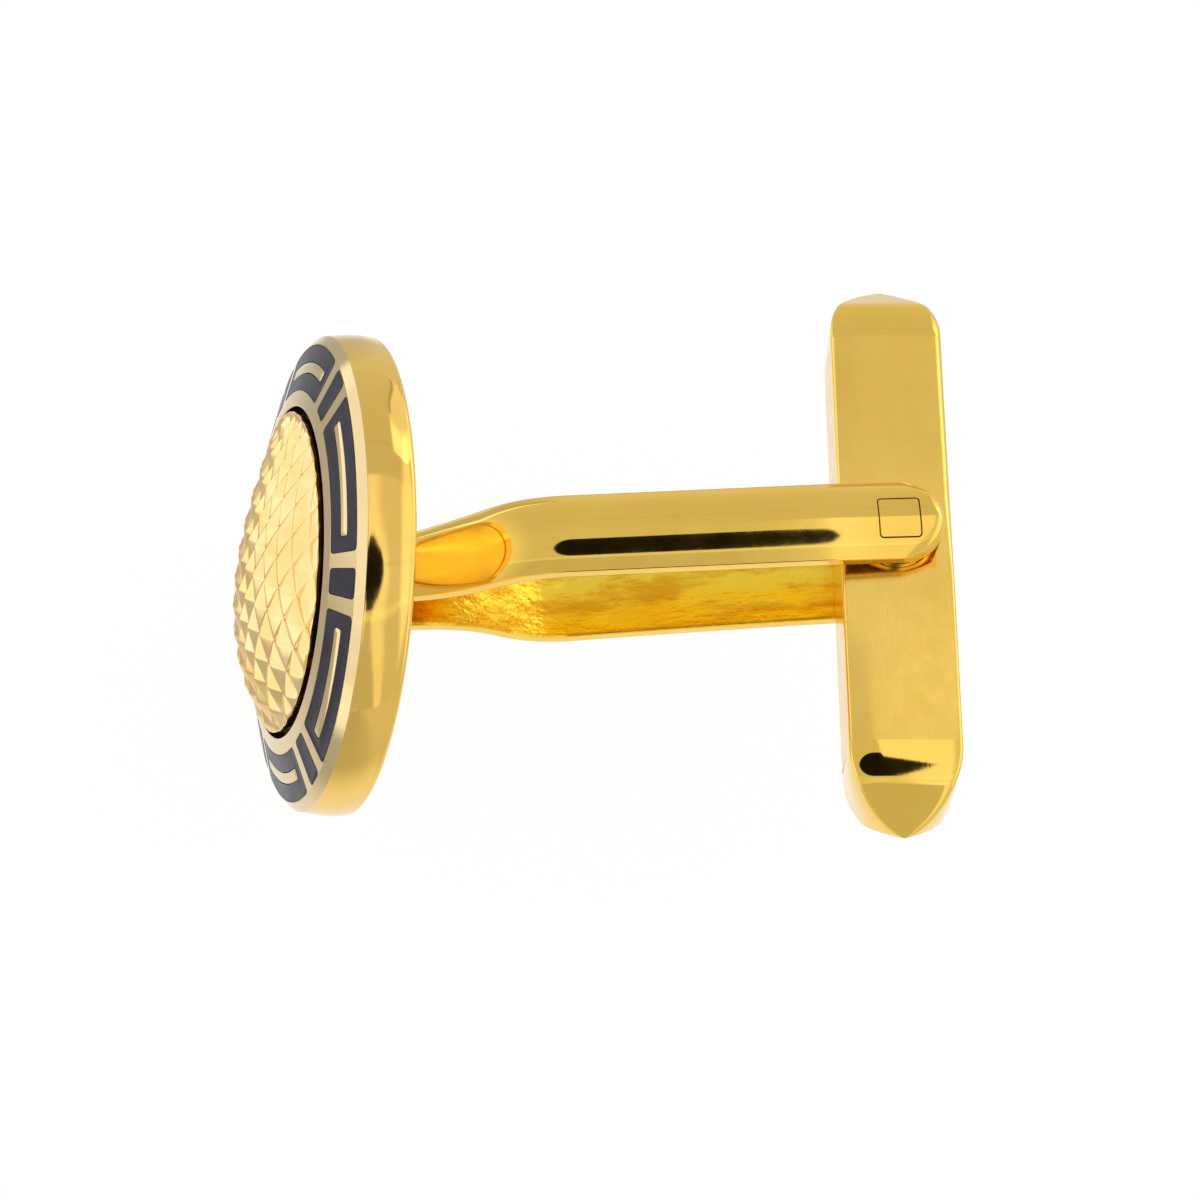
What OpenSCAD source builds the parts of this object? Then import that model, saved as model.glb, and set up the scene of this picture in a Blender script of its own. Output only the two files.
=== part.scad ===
// Swivel-bar cufflink: an enamelled round face, a sprung fork and a toggle bar on a pivot pin.
// X runs from the face's back to the toggle, Y along the toggle at rest, Z along the pivot pin.
// The origin is the centre of the face's flat back, which bears on the outside of the cuff.

/* [Face] */
// Diameter of the round face
face_d = 16; // [14:0.5:20]
// Height of the face's plain outer band
band_h = 1.61; // [1.2:0.1:2.4]
// Radius of the rounded edge at the back of the band
band_edge_r = 0.17; // [0.1:0.01:0.3]
// Angle by which the face leans on the fork, seen along the toggle
face_lean = 14; // [0:1:18]
// Turn of the enamel pattern about the face's axis
pattern_turn = -27; // [-30:1:30]
// Width of the plain bevel between the band and the enamel ring
bevel_w = 0.38; // [0.2:0.02:0.6]
// Rise of the bevel
bevel_rise = 0.27; // [0.15:0.01:0.5]
// Width of the enamel ring
ring_w = 1.62; // [1.3:0.02:2]
// Rise of the enamel ring from its outer to its inner edge
ring_rise = 0.51; // [0.3:0.01:0.7]
// Width of the plain collar inside the enamel ring
collar_w = 0.5; // [0.3:0.05:0.6]
// Rise of the collar
collar_rise = 0.11; // [0.05:0.01:0.2]

/* [Enamel] */
// Angle covered by one long enamel cell
long_cell_angle = 43.5; // [38:0.5:46]
// Angle covered by one short enamel cell
short_cell_angle = 7.5; // [5:0.5:9]
// Depth of the enamel
enamel_t = 0.35; // [0.2:0.05:0.4]
// Angle covered by one gold bar let into a long cell
inlay_angle = 35; // [28:1:38]
// Width of the gold bar
inlay_w = 0.36; // [0.25:0.01:0.5]
// Depth of the gold bar in the enamel
inlay_t = 0.2; // [0.12:0.02:0.24]

/* [Dome] */
// Gap around the dome, inside the collar
dome_gap = 0.2; // [0.1:0.02:0.4]
// Height of the dome's edge above the collar
dome_lift = 0.3; // [0.2:0.02:0.5]
// Rise of the dome above its edge
dome_rise = 1.15; // [0.9:0.05:1.5]
// Spacing of the two sets of grooves that are cut across the dome
groove_pitch = 0.875; // [0.7:0.025:1.2]
// Depth of these grooves
groove_depth = 0.2; // [0.1:0.01:0.25]
// Direction of the first set of grooves on the face
groove_turn = 49; // [30:1:60]
// Angle between the two sets of grooves
groove_cross = 60; // [50:1:90]
// Wall of the dome
dome_wall = 0.7; // [0.5:0.05:0.9]
// Depth of the well that the dome sits in
well_depth = 0.6; // [0.4:0.05:0.8]

/* [Fork] */
// Thickness of each arm
arm_t = 1; // [0.8:0.05:1.2]
// Width of each arm
arm_w = 2.8; // [2:0.1:3]
// Rise of the half-round outer side of each arm
crown_rise = 0.62; // [0.4:0.02:0.8]
// Depth by which that half-round side is cut below the bent strip's outer face
crown_cut = 0.06; // [0.04:0.01:0.1]
// Distance of an arm's middle from the axis at the face
arm_foot_z = 1.03; // [0.9:0.01:1.3]
// Gap between the toggle's side and an arm, where the arms are widest
bow_gap = 0.695; // [0.58:0.005:0.95]
// Where the arm starts to bend outward
bend_start_x = 2; // [1.5:0.1:3]
// Where the arm is widest
bend_end_x = 7; // [6.5:0.1:8]
// Angle by which each arm closes in towards the toggle
arm_pinch = 2; // [0:0.5:2.5]
// Reach of an arm past the pivot, to the centre of its round end
arm_past_pivot = 0.1; // [0:0.05:0.5]

/* [Pivot] */
// Distance of the pivot from the face's back
pivot_x = 17.85; // [16:0.05:22]
// Radius of the pin's round journals
journal_r = 1; // [0.9:0.05:1.1]
// Side of the pin's square ends and square cam
square_s = 1.38; // [1.2:0.02:1.4]
// Running clearance of the journals in the toggle
journal_gap = 0.03; // [0.02:0.01:0.08]
// Outer radius of each washer
washer_r = 1.25; // [1.2:0.05:1.5]
// Thickness of each washer
washer_t = 0.25; // [0.2:0.01:0.26]

/* [Toggle] */
// Length of the toggle from tip to tip
toggle_l = 20.1; // [19:0.1:21]
// Width of the toggle
toggle_w = 3.74; // [3.6:0.02:4.2]
// Depth of the toggle along the pin
toggle_d = 3.05; // [2.9:0.05:3.1]
// Wall of the hollow toggle
toggle_wall = 0.5; // [0.4:0.05:0.55]
// Length of the soldered cap at each end
cap_l = 2.67; // [2.5:0.01:3.2]
// Radius by which a cap's front face falls away towards its tip
fall_r = 2.3; // [2:0.05:4]
// Length of the wedge at the tip of each cap, on the front
wedge_l = 1.22; // [1:0.02:1.5]
// Length of the wedge at the tip of each cap, on the back
back_wedge_l = 0.85; // [0.6:0.05:1.2]
// Distance of the tips behind the toggle's middle
tip_drop = 0.54; // [0:0.02:0.8]
// Radius of the pointed outline at the tips
arch_r = 2.62; // [2.5:0.02:3]
// Angle of the toggle from square, as it rests
toggle_rest_a = -2.5; // [-4:0.5:4]

/* [Springs] */
// Thickness of each leaf spring
leaf_t = 0.2; // [0.15:0.01:0.22]
// Play between a leaf spring's edges and the tube
leaf_side_gap = 0.125; // [0.05:0.005:0.3]
// Play between a leaf spring and the cam at rest
leaf_gap = 0.03; // [0.03:0.01:0.06]

/* [Hidden] */
$fn = 96;
face_r = face_d / 2;
// Small play between soldered, fired or set pieces
seat_gap = 0.02;
// The gold shell of the face
shell_t = 0.45;
// Back plate, let into the back of the rim and resting on a ledge
rim_seat_w = 0.9;
plate_r = face_r - rim_seat_w;
plate_t = 0.55;
// Depth at which the plate lies below the rim's back edge, which alone meets the cuff
plate_sink = 0.1;
ledge_h = plate_sink + plate_t + seat_gap;
ledge_w = 0.4;
ledge_r = plate_r - ledge_w;
band_corner = 0.06;
// Radii and heights of the face's front, worked inward and upward from the band
ring_outer_r = face_r - bevel_w;
ring_inner_r = ring_outer_r - ring_w;
well_r = ring_inner_r - collar_w;
dome_r = well_r - dome_gap;
ring_outer_h = band_h + bevel_rise;
ring_inner_h = ring_outer_h + ring_rise;
collar_h = ring_inner_h + collar_rise;
well_h = collar_h - well_depth;
dome_edge_h = collar_h + dome_lift;
// Enamel ring slope, as height lost for each millimetre outward
ring_slope = (ring_inner_h - ring_outer_h) / (ring_outer_r - ring_inner_r);
// Gold left between the cells and the edges of the ring
ring_lip = 0.06;
cell_outer_r = ring_outer_r - ring_lip;
cell_inner_r = ring_inner_r + ring_lip;
cell_pitch_a = 60;
cells = 6;
inlay_mid_share = 0.5;
inlay_mid_r = cell_inner_r + inlay_mid_share * (cell_outer_r - cell_inner_r);
enamel_proud = 0.01;
// The dome's sphere and its stud
dome_sphere_r = (dome_r * dome_r + dome_rise * dome_rise) / (2 * dome_rise);
dome_centre_h = dome_edge_h + dome_rise - dome_sphere_r;
skirt_t = 0.7;
// Where a row of peaks passes the dome's middle, in spacings, across each set of grooves
first_row_share = 0.44;
second_row_share = 0.18;
rows_each_side = ceil(dome_r / groove_pitch) + 1;
stud_r = 0.5;
stud_head_r = 1;
stud_head_t = 0.4;
stud_head_drop = 0.08;
// The arms' curve, from one arc bending out and one arc bending back
arm_bow_z = toggle_d / 2 + bow_gap + arm_t / 2;
bend_rise = arm_bow_z - arm_foot_z;
bend_run = bend_end_x - bend_start_x;
bend_a = 2 * atan(bend_rise / bend_run);
// Overlap of the two arcs where they meet
join_a = 0.2;
bend_r = bend_run / (2 * sin(bend_a));
crown_r = (arm_w * arm_w / 4 + crown_rise * crown_rise) / (2 * crown_rise);
arm_end_r = arm_w / 2;
arm_end_x = pivot_x + arm_past_pivot;
pinch_x = bend_end_x + bend_r * sin(arm_pinch);
pinch_z = arm_bow_z - bend_r + bend_r * cos(arm_pinch);
function arm_mid_z(x) = pinch_z - (x - pinch_x) * tan(arm_pinch);
pivot_mid_z = arm_mid_z(pivot_x);
arm_inner_z = pivot_mid_z - arm_t / (2 * cos(arm_pinch));
arm_outer_z = pivot_mid_z + arm_t / (2 * cos(arm_pinch));
pin_end_z = arm_outer_z - 0.02;
journal_top_z = arm_inner_z - 0.05;
// The toggle's hollow
toggle_half = toggle_l / 2;
hollow_w = toggle_w - 2 * toggle_wall;
hollow_d = toggle_d - 2 * toggle_wall;
body_half = toggle_half - cap_l;
cam_half_z = hollow_d / 2 - seat_gap;
washer_z = toggle_d / 2 + seat_gap;
tenon_l = 0.6;
arch_offset = arch_r - toggle_w / 2;
arch_y = toggle_half - sqrt(arch_r * arch_r - arch_offset * arch_offset);
// The leaf springs stand just clear of the cam, which is turned by the rest angle
cam_reach = square_s / 2 * (cos(toggle_rest_a) + abs(sin(toggle_rest_a)));
leaf_x = cam_reach + leaf_gap;
leaf_half = body_half - seat_gap;
leaf_w = hollow_d - 2 * leaf_side_gap;
leaf_slot_gap = 0.03;

// Carries the face's pieces, drawn with their axis upright, onto the leaning end of the fork
module on_face() {
    rotate([0, face_lean, 0])
        rotate([0, -90, 0])
            rotate([0, 0, pattern_turn])
                children();
}

// Carries the toggle's pieces to the pivot
module on_pivot() {
    translate([pivot_x, 0, 0])
        rotate([0, 0, toggle_rest_a])
            children();
}

// A band of the enamel ring between two radii, following its slope down to a depth
module ring_band(inner_r, outer_r, top, depth, angle) {
    inner_h = ring_outer_h + (ring_outer_r - inner_r) * ring_slope + top;
    outer_h = ring_outer_h + (ring_outer_r - outer_r) * ring_slope + top;
    rotate([0, 0, -angle / 2])
        rotate_extrude(angle = angle)
            polygon([
                [inner_r, inner_h],
                [outer_r, outer_h],
                [outer_r, outer_h - depth],
                [inner_r, inner_h - depth]
            ]);
}

// Angle of the small play around a cell, at the ring's middle
play_a = 2 * seat_gap / inlay_mid_r * 180 / PI;

module cell_cut(angle) {
    ring_band(cell_inner_r - seat_gap, cell_outer_r + seat_gap, 2 * shell_t, enamel_t + seat_gap + 2 * shell_t,
        angle + play_a);
}

module inlay_cut() {
    ring_band(inlay_mid_r - inlay_w / 2 - seat_gap, inlay_mid_r + inlay_w / 2 + seat_gap,
        shell_t, inlay_t + seat_gap + shell_t, inlay_angle + play_a);
}

module face_rim() {
    color("gold")
    on_face()
    difference() {
        rotate_extrude() {
            polygon([
                [plate_r, 0],
                [face_r - band_edge_r, 0],
                [face_r - band_edge_r, band_edge_r],
                [face_r, band_edge_r],
                [face_r, band_h - band_corner],
                [face_r - band_corner, band_h],
                [ring_outer_r, ring_outer_h],
                [ring_inner_r, ring_inner_h],
                [well_r, collar_h],
                [well_r, well_h],
                [stud_r + seat_gap, well_h],
                [stud_r + seat_gap, well_h - shell_t],
                [ledge_r, well_h - shell_t],
                [ledge_r, ledge_h],
                [plate_r, ledge_h]
            ]);
            translate([face_r - band_edge_r, band_edge_r])
                circle(band_edge_r);
        }
        for (i = [0 : cells - 1]) {
            rotate([0, 0, (i + 0.5) * cell_pitch_a])
                cell_cut(long_cell_angle);
            rotate([0, 0, i * cell_pitch_a])
                cell_cut(short_cell_angle);
        }
    }
}

module back_plate() {
    color("goldenrod")
    on_face()
    difference() {
        translate([0, 0, plate_sink])
            cylinder(h = plate_t, r = plate_r - seat_gap);
        translate([0, 0, -plate_t])
            cylinder(h = 3 * plate_t, r = stud_r + seat_gap);
    }
}

// Half the outline of a ball with V grooves round it, its axis upright
function grooved_outline(row_share) = [
    for (i = [2 * rows_each_side : -1 : -2 * rows_each_side])
        let (at = (row_share + i / 2) * groove_pitch)
            let (r = dome_sphere_r - (i % 2 == 0 ? 0 : groove_depth))
                [sqrt(r * r - at * at), at]
];

// The dome's ball with one set of grooves, which run along a direction on the face
module grooved_ball(row_share, along) {
    ends = [[0, (row_share - rows_each_side) * groove_pitch], [0, (row_share + rows_each_side) * groove_pitch]];
    translate([0, 0, dome_centre_h])
        rotate([0, 0, along + 90])
            rotate([0, 90, 0])
                rotate_extrude()
                    polygon(concat(grooved_outline(row_share), ends));
}

module dome_insert() {
    color("khaki")
    on_face()
    difference() {
        intersection() {
            translate([0, 0, well_h + seat_gap])
                cylinder(h = dome_sphere_r, r = dome_r);
            grooved_ball(first_row_share, groove_turn);
            grooved_ball(second_row_share, groove_turn + groove_cross);
        }
        rotate_extrude()
            intersection() {
                translate([0, dome_centre_h])
                    circle(dome_sphere_r - dome_wall);
                square([dome_r - skirt_t, dome_sphere_r]);
            }
    }
}

module dome_stud() {
    stud_top_h = dome_edge_h + dome_rise - dome_wall - stud_head_drop;
    color("orange")
    on_face() {
        translate([0, 0, plate_sink])
            cylinder(h = stud_top_h - plate_sink, r = stud_r);
        translate([0, 0, stud_top_h - stud_head_t])
            cylinder(h = stud_head_t, r = stud_head_r);
    }
}

module enamel_long(i) {
    color("darkslateblue")
    on_face()
    rotate([0, 0, (i - 0.5) * cell_pitch_a])
    difference() {
        ring_band(cell_inner_r, cell_outer_r, enamel_proud, enamel_t, long_cell_angle);
        inlay_cut();
    }
}

module enamel_short(i) {
    color("darkslategray")
    on_face()
    rotate([0, 0, (i - 1) * cell_pitch_a])
        ring_band(cell_inner_r, cell_outer_r, enamel_proud, enamel_t, short_cell_angle);
}

module inlay_bar(i) {
    color("yellow")
    on_face()
    rotate([0, 0, (i - 0.5) * cell_pitch_a])
        ring_band(inlay_mid_r - inlay_w / 2, inlay_mid_r + inlay_w / 2, enamel_proud, inlay_t, inlay_angle);
}

// Part of a ring between two angles and two radii
module arc_band(from_a, to_a, inner_r, outer_r) {
    reach = 2 * bend_r;
    mid_a = (from_a + to_a) / 2;
    intersection() {
        difference() {
            circle(outer_r);
            circle(inner_r);
        }
        polygon([
            [0, 0],
            [reach * cos(from_a), reach * sin(from_a)],
            [reach * cos(mid_a), reach * sin(mid_a)],
            [reach * cos(to_a), reach * sin(to_a)]
        ]);
    }
}

// An arm seen from its edge: foot, bend out, bend back, and the run to the pivot
module arm_profile() {
    translate([-arm_foot_z, arm_foot_z - arm_t / 2])
        square([bend_start_x + arm_foot_z, arm_t + crown_cut]);
    translate([bend_start_x, arm_foot_z + bend_r])
        arc_band(270, 270 + bend_a + join_a, bend_r - arm_t / 2 - crown_cut, bend_r + arm_t / 2);
    translate([bend_end_x, arm_bow_z - bend_r])
        arc_band(90 - arm_pinch, 90 + bend_a, bend_r - arm_t / 2, bend_r + arm_t / 2 + crown_cut);
    translate([pinch_x, pinch_z])
        rotate(-arm_pinch)
            translate([0, -arm_t / 2])
                square([arm_end_x + arm_end_r - pinch_x + arm_t, arm_t + crown_cut]);
}

// The half-round bar that the arm's outer side follows, seen from its end, crown towards +X
module crown_section() {
    crown_x = arm_t / 2 - crown_r;
    intersection() {
        translate([-arm_bow_z - arm_t, -arm_w / 2])
            square([arm_bow_z + 2 * arm_t, arm_w]);
        union() {
            translate([crown_x, 0])
                circle(crown_r);
            translate([crown_x - 2 * arm_bow_z, -crown_r])
                square([2 * arm_bow_z, 2 * crown_r]);
        }
    }
}

module crown_bar() {
    translate([pinch_x, 0, pinch_z])
        rotate([0, arm_pinch, 0])
            translate([arm_end_x, 0, 0])
                rotate([0, -90, 0])
                    linear_extrude(2 * arm_end_x)
                        crown_section();
}

module arm_outline() {
    translate([-arm_foot_z - arm_t, -arm_w])
        square([arm_end_x + arm_foot_z + arm_t, 2 * arm_w]);
    translate([arm_end_x, 0])
        circle(arm_end_r);
}

module arm_shape(side) {
    hole_s = square_s + 2 * seat_gap;
    difference() {
        intersection() {
            mirror([0, 0, side < 0 ? 1 : 0])
                intersection() {
                    translate([0, arm_w, 0])
                        rotate([90, 0, 0])
                            linear_extrude(2 * arm_w)
                                arm_profile();
                    crown_bar();
                }
            translate([0, 0, -arm_end_x])
                linear_extrude(2 * arm_end_x)
                    arm_outline();
        }
        translate([pivot_x - hole_s / 2, -hole_s / 2, -arm_end_x])
            cube([hole_s, hole_s, 2 * arm_end_x]);
        rotate([0, face_lean, 0])
            translate([seat_gap - plate_sink - face_d, -face_r, -face_r])
                cube([face_d, face_d, face_d]);
    }
}

module arm_upper() {
    color("goldenrod")
        arm_shape(1);
}

module arm_lower() {
    color("darkgoldenrod")
        arm_shape(-1);
}

module pivot_pin() {
    color("peru")
    translate([pivot_x, 0, 0]) {
        for (s = [0, 1])
            mirror([0, 0, s])
                intersection() {
                    translate([-square_s / 2, -square_s / 2, -seat_gap])
                        cube([square_s, square_s, pin_end_z + seat_gap]);
                    translate([-square_s, 0, pin_end_z - crown_r])
                        rotate([0, 90, 0])
                            cylinder(h = 2 * square_s, r = crown_r);
                }
        for (s = [0, 1])
            mirror([0, 0, s])
                translate([0, 0, cam_half_z])
                    cylinder(h = journal_top_z - cam_half_z, r = journal_r);
    }
}

module washer() {
    translate([pivot_x, 0, washer_z])
    difference() {
        cylinder(h = washer_t, r = washer_r);
        translate([0, 0, -washer_t])
            cylinder(h = 3 * washer_t, r = journal_r + journal_gap);
    }
}

module washer_upper() {
    color("tan")
        washer();
}

module washer_lower() {
    color("tan")
        mirror([0, 0, 1])
            washer();
}

module toggle_tube() {
    color("gold")
    on_pivot()
    difference() {
        translate([-toggle_w / 2, -body_half, -toggle_d / 2])
            cube([toggle_w, 2 * body_half, toggle_d]);
        translate([-hollow_w / 2, -toggle_half, -hollow_d / 2])
            cube([hollow_w, toggle_l, hollow_d]);
        translate([0, 0, -toggle_d])
            cylinder(h = 2 * toggle_d, r = journal_r + journal_gap);
    }
}

// The toggle's outline as seen along the pin: straight sides closing in a pointed arch
module cap_outline() {
    translate([-toggle_w / 2, body_half + seat_gap])
        square([toggle_w, arch_y - body_half - seat_gap]);
    intersection() {
        translate([arch_offset, arch_y])
            circle(arch_r);
        translate([-arch_offset, arch_y])
            circle(arch_r);
        translate([-toggle_w, arch_y])
            square([2 * toggle_w, toggle_half]);
    }
}

// The cap as seen along the width: its front falls away in an arc and ends in a wedge
module cap_side() {
    crease_y = toggle_half - wedge_l;
    crease_z = toggle_d / 2 - fall_r + sqrt(fall_r * fall_r - (crease_y - body_half) * (crease_y - body_half));
    polygon([
        [body_half, -toggle_d / 2],
        [toggle_half - back_wedge_l, -toggle_d / 2],
        [toggle_half, -tip_drop],
        [crease_y, crease_z],
        [body_half, toggle_d / 2]
    ]);
    intersection() {
        translate([body_half, toggle_d / 2 - fall_r])
            circle(fall_r);
        translate([body_half, 0])
            square([crease_y - body_half, toggle_d / 2]);
    }
}

module toggle_cap() {
    slot_t = leaf_t + 2 * leaf_slot_gap;
    intersection() {
        translate([0, 0, -toggle_d])
            linear_extrude(2 * toggle_d)
                cap_outline();
        rotate([90, 0, 90])
            translate([0, 0, -toggle_w])
                linear_extrude(2 * toggle_w)
                    cap_side();
    }
    difference() {
        translate([seat_gap - hollow_w / 2, body_half - tenon_l, seat_gap - hollow_d / 2])
            cube([hollow_w - 2 * seat_gap, tenon_l + toggle_wall, hollow_d - 2 * seat_gap]);
        for (s = [0, 1])
            mirror([s, 0, 0])
                translate([leaf_x - leaf_slot_gap, -toggle_half, -toggle_d])
                    cube([slot_t, toggle_half + body_half, 2 * toggle_d]);
    }
}

module toggle_cap_left() {
    color("darkkhaki")
        on_pivot()
            toggle_cap();
}

module toggle_cap_right() {
    color("darkkhaki")
        on_pivot()
            mirror([0, 1, 0])
                toggle_cap();
}

module leaf_spring() {
    translate([leaf_x, -leaf_half, -leaf_w / 2])
        cube([leaf_t, 2 * leaf_half, leaf_w]);
}

module leaf_spring_outer() {
    color("steelblue")
        on_pivot()
            leaf_spring();
}

module leaf_spring_inner() {
    color("steelblue")
        on_pivot()
            mirror([1, 0, 0])
                leaf_spring();
}

face_rim();
back_plate();
dome_insert();
dome_stud();
enamel_long(1);  // enamel_long_1
enamel_long(2);  // enamel_long_2
enamel_long(3);  // enamel_long_3
enamel_long(4);  // enamel_long_4
enamel_long(5);  // enamel_long_5
enamel_long(6);  // enamel_long_6
enamel_short(1);  // enamel_short_1
enamel_short(2);  // enamel_short_2
enamel_short(3);  // enamel_short_3
enamel_short(4);  // enamel_short_4
enamel_short(5);  // enamel_short_5
enamel_short(6);  // enamel_short_6
inlay_bar(1);  // inlay_bar_1
inlay_bar(2);  // inlay_bar_2
inlay_bar(3);  // inlay_bar_3
inlay_bar(4);  // inlay_bar_4
inlay_bar(5);  // inlay_bar_5
inlay_bar(6);  // inlay_bar_6
arm_upper();
arm_lower();
pivot_pin();
washer_upper();
washer_lower();
toggle_tube();
toggle_cap_left();
toggle_cap_right();
leaf_spring_inner();
leaf_spring_outer();
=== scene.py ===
import bmesh
import bpy
import numpy as np
from mathutils import Matrix


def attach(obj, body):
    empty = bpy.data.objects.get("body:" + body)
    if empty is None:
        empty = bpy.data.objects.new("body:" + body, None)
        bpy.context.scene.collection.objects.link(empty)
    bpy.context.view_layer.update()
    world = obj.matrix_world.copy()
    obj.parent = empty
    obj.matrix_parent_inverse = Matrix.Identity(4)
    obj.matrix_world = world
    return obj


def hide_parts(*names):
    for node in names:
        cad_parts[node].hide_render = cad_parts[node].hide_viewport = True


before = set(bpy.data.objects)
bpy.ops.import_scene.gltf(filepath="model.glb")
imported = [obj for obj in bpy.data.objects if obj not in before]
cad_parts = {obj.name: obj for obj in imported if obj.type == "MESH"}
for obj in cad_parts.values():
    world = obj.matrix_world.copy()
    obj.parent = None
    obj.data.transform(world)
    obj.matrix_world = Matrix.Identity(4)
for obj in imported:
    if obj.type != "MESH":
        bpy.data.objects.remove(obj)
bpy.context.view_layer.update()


# ---------------------------------------------------------------- face rim
# The rim is turned from yellow gold: a softly barrelled outer band, a narrow bevel,
# the sloping ring that holds the enamel cells, a collar and the well for the dome.
# The cells are milled into the ring, leaving thin gold walls between them.

mm = 0.001
face_lean = np.radians(14.0)
pattern_turn = np.radians(-27.0)
face_r, band_h = 8.0, 1.61
band_edge_r, band_soft = 0.17, 0.03
band_fall, band_back, band_widest = 0.20, 0.05, 0.35
worn_fall, worn_a, worn_span, worn_fade = 0.095, np.radians(3.5), np.radians(8.0), 0.2
ring_outer_r, ring_inner_r = 7.62, 6.0
ring_outer_h, ring_inner_h = 1.88, 2.39
ring_slope = (ring_inner_h - ring_outer_h) / (ring_outer_r - ring_inner_r)
well_r, collar_h, well_h = 5.5, 2.5, 1.9
plate_r, ledge_r, ledge_h, shell_t = 7.1, 6.7, 0.67, 0.45
stud_hole_r = 0.52
cell_outer_r, cell_inner_r = 7.56, 6.06
cell_mid_r = (cell_outer_r + cell_inner_r) / 2
cell_half_w = (cell_outer_r - cell_inner_r) / 2
cell_step = np.pi / 6
long_cell_a, short_cell_a = np.radians(43.5), np.radians(7.5)
long_half, short_half = long_cell_a / 2 * cell_mid_r, short_cell_a / 2 * cell_mid_r
long_points, short_points = 30, 4
cell_corner, cell_bevel = 0.13, 0.02
enamel_t = 0.35
seat_gap = 0.02


def on_face(p):
    """Puts points (x, y, h) of the face, h along its axis, in the part's frame: a turn about
    the axis, the axis laid along -X, then the lean about Y, and millimetres to metres."""
    x, y, h = p[..., 0], p[..., 1], p[..., 2]
    c, s = np.cos(pattern_turn), np.sin(pattern_turn)
    x, y = x * c - y * s, x * s + y * c
    c, s = np.cos(face_lean), np.sin(face_lean)
    return np.stack([-h * c + x * s, y, h * s + x * c], -1) * mm


def softened(corners, radii, steps=5, hold=0.02):
    """A closed outline with round corners, one row of points to a corner. At a corner p between
    unit directions a and b the arc has radius r, touches at distance r / tan(half angle) and is
    swept as a slerp of its two end radii. A point just outside each end keeps the flats flat."""
    p = np.array(corners, float)
    r = np.array(radii, float)[:, None]
    a = np.roll(p, 1, 0) - p
    b = np.roll(p, -1, 0) - p
    a /= np.linalg.norm(a, axis=1, keepdims=True)
    b /= np.linalg.norm(b, axis=1, keepdims=True)
    half = np.arccos(np.clip((a * b).sum(1, keepdims=True), -1, 1)) / 2
    reach = r / np.tan(half)
    m = (a + b) / np.maximum(np.linalg.norm(a + b, axis=1, keepdims=True), 1e-9)
    centre = p + m * r / np.sin(half)
    u0, u1 = (p + a * reach - centre)[:, None], (p + b * reach - centre)[:, None]
    w = np.maximum(np.pi - 2 * half, 1e-6)[:, None]
    s = np.linspace(0, 1, steps + 1)[None, :, None]
    arc = centre[:, None] + (np.sin((1 - s) * w) * u0 + np.sin(s * w) * u1) / np.sin(w)
    first = (p + a * (reach + hold))[:, None]
    last = (p + b * (reach + hold))[:, None]
    return np.concatenate([first, arc, last], 1)


def grid_faces(rows, cols, wrap_rows=False, wrap_cols=False, start=0):
    """Quads of a rows by cols grid of points numbered row by row, joined round where asked."""
    i = np.arange(rows if wrap_rows else rows - 1)[:, None]
    j = np.arange(cols if wrap_cols else cols - 1)[None, :]
    i2, j2 = (i + 1) % rows, (j + 1) % cols
    quad = np.stack([i * cols + j, i * cols + j2, i2 * cols + j2, i2 * cols + j], -1)
    return quad.reshape(-1, 4) + start


def piece(name, sheets, material, body, nodes, crease):
    """Makes one piece from sheets, a list of (points, wrap rows, wrap columns), welds them where
    they meet, points the faces outwards, gives it its material in a slot and its body, and hides
    its CAD nodes.
    Edges sharper than crease, in degrees, stay sharp."""
    points, faces, start = [], [], 0
    for p, wrap_rows, wrap_cols in sheets:
        rows, cols = p.shape[:2]
        faces.append(grid_faces(rows, cols, wrap_rows, wrap_cols, start))
        points.append(p.reshape(-1, 3))
        start += rows * cols
    mesh = bpy.data.meshes.new(name)
    mesh.from_pydata(np.concatenate(points), [], np.concatenate(faces).tolist())
    bm = bmesh.new()
    bm.from_mesh(mesh)
    bmesh.ops.remove_doubles(bm, verts=bm.verts, dist=2e-7)
    bmesh.ops.dissolve_degenerate(bm, dist=1e-8, edges=bm.edges)
    bmesh.ops.recalc_face_normals(bm, faces=bm.faces)
    bm.to_mesh(mesh)
    bm.free()
    mesh.polygons.foreach_set("use_smooth", np.ones(len(mesh.polygons), bool))
    mesh.set_sharp_from_angle(angle=np.radians(crease))
    o = bpy.data.objects.new(name, mesh)
    bpy.context.scene.collection.objects.link(o)
    mesh.materials.append(material)
    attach(o, body)
    if nodes:
        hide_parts(*nodes)
    return o


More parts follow.
